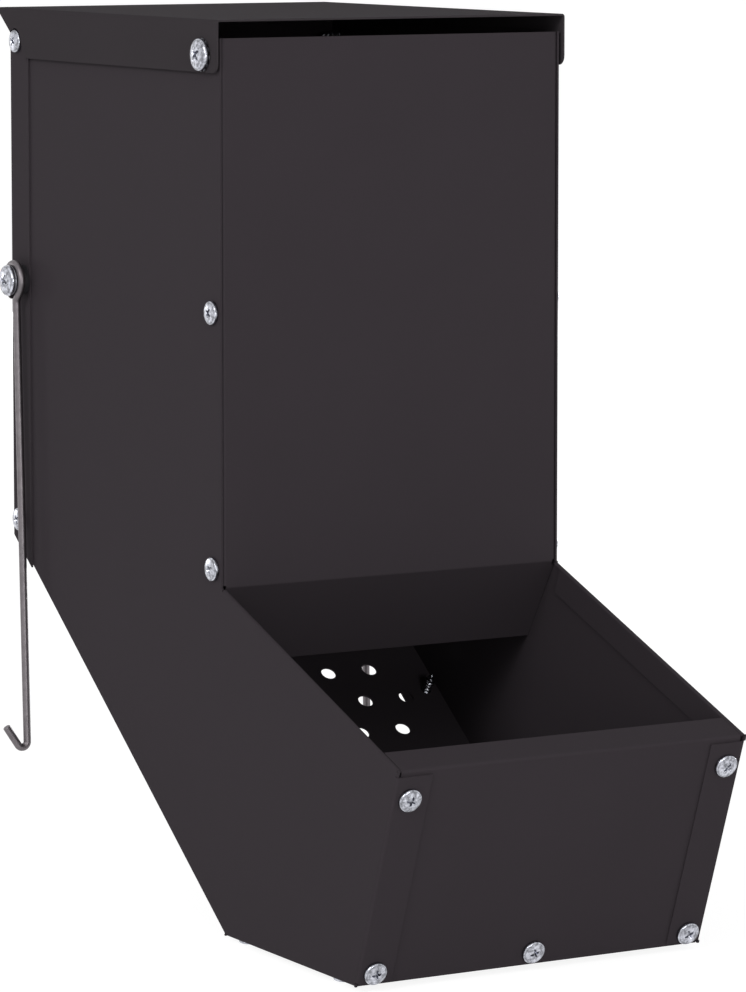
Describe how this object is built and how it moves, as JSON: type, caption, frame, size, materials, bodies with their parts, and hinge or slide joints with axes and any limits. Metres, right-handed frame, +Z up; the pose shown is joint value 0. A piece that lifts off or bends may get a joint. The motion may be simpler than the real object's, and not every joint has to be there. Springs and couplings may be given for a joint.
{
  "type": "rabbit feeder",
  "caption": "Gravity feeder of folded sheet steel for a cage wall: tall hopper with hinged lid, perforated chute, trough with a folded lip and swinging wire hooks.",
  "frame": {"origin": "middle of the front panel's outer face, which stands against the cage wall", "axes": "+Z up along the hopper, -Y into the cage towards the trough, +X across the feeder to its right as seen from inside the cage"},
  "size_m": [0.1446, 0.2569, 0.2807],
  "materials": {
    "sheet": "dark grey powder coat, satin",
    "bush": "black nylon",
    "zinc": "bright zinc plate",
    "screw": "bright zinc plate",
    "wire": "drawn and zinc plated wire"
  },
  "bodies": {
    "housing": {"left_side_panel": "sheet", "right_side_panel": "sheet", "front_panel": "sheet", "back_panel": "sheet", "feed_chute": "sheet", "trough_front": "sheet", "left_hook_bush": "bush", "right_hook_bush": "bush", "left_hook_washers": "zinc", "right_hook_washers": "zinc", "left_hook_nut": "zinc", "right_hook_nut": "zinc", "left_lid_washers": "zinc", "right_lid_washers": "zinc", "left_lid_nut": "zinc", "right_lid_nut": "zinc", "left_hook_screw": "screw", "right_hook_screw": "screw", "left_lid_screw": "screw", "right_lid_screw": "screw", "trough_front_screws": "screw", "left_front_screws": "screw", "right_front_screws": "screw", "left_back_screws": "screw", "right_back_screws": "screw", "floor_screws": "screw", "chute_screws": "screw"},
    "lid": {"lid": "sheet"},
    "left_hook": {"left_hook": "wire"},
    "right_hook": {"right_hook": "wire"}
  },
  "joints": [
    {"name": "lid_hinge", "type": "hinge", "parent": "housing", "child": "lid", "pos_m": [0, 0.008, 0.07815], "axis": [1, 0, 0], "range_deg": [0, 98]},
    {"name": "left_hook_pivot", "type": "hinge", "parent": "housing", "child": "left_hook", "pos_m": [-0.0639, 0.1343, 0.00085], "axis": [1, 0, 0], "range_deg": [-116, 230]},
    {"name": "right_hook_pivot", "type": "hinge", "parent": "housing", "child": "right_hook", "pos_m": [0.0639, 0.1343, 0.00085], "axis": [1, 0, 0], "range_deg": [-116, 230]}
  ]
}
